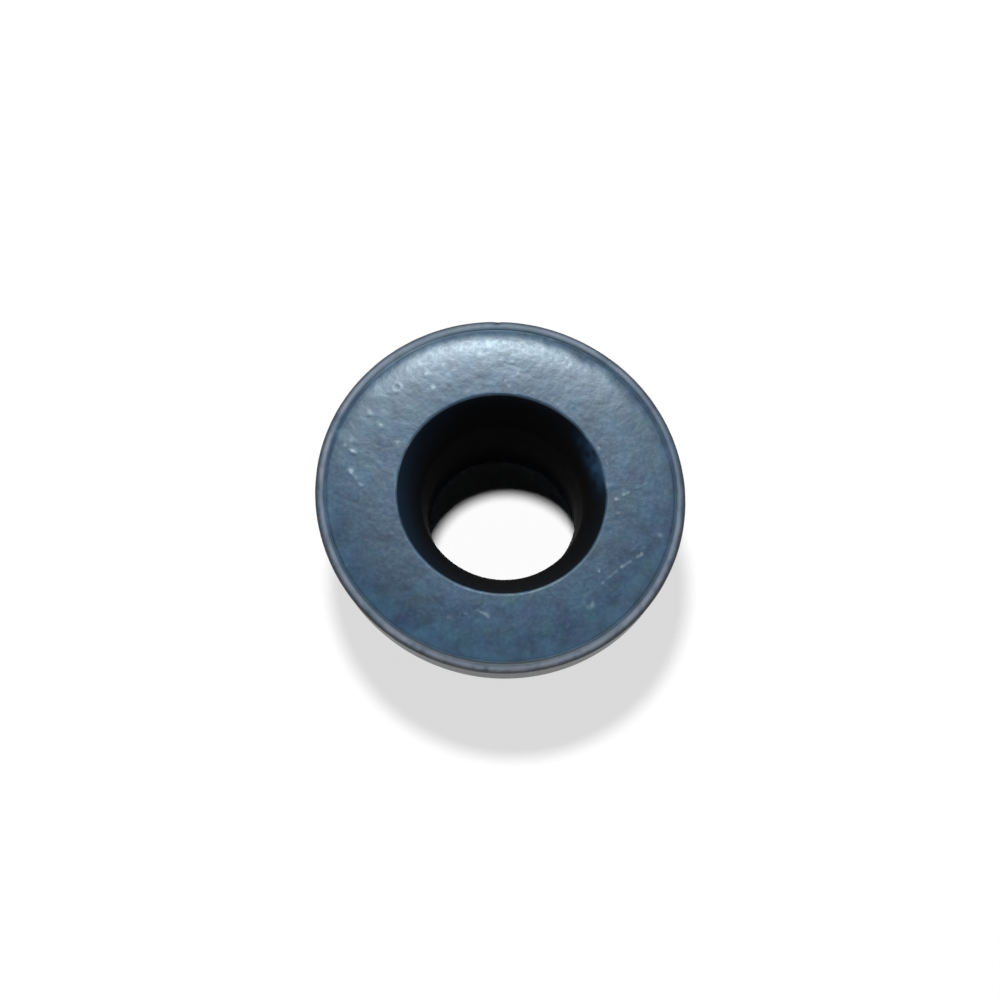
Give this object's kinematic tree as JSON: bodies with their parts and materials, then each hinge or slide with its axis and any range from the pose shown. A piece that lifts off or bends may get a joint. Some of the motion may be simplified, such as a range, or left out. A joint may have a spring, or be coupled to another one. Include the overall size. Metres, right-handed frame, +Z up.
{
  "type": "valve gasket",
  "caption": "Round rubber top-hat gasket with a thick flange, a slightly crowned face inside a beaded rim, a short neck, and a bore that narrows from a conical mouth to a straight grip land.",
  "frame": {"origin": "centre of the neck's end face, on which the part stands", "axes": "+Z up along the bore, from the end of the neck to the face of the flange; X and Y are free, as the part is round"},
  "size_m": [0.018, 0.018, 0.0064],
  "materials": {
    "rubber": "matt with a soft sheen"
  },
  "bodies": {
    "root": {"gasket": "rubber"}
  },
  "joints": []
}
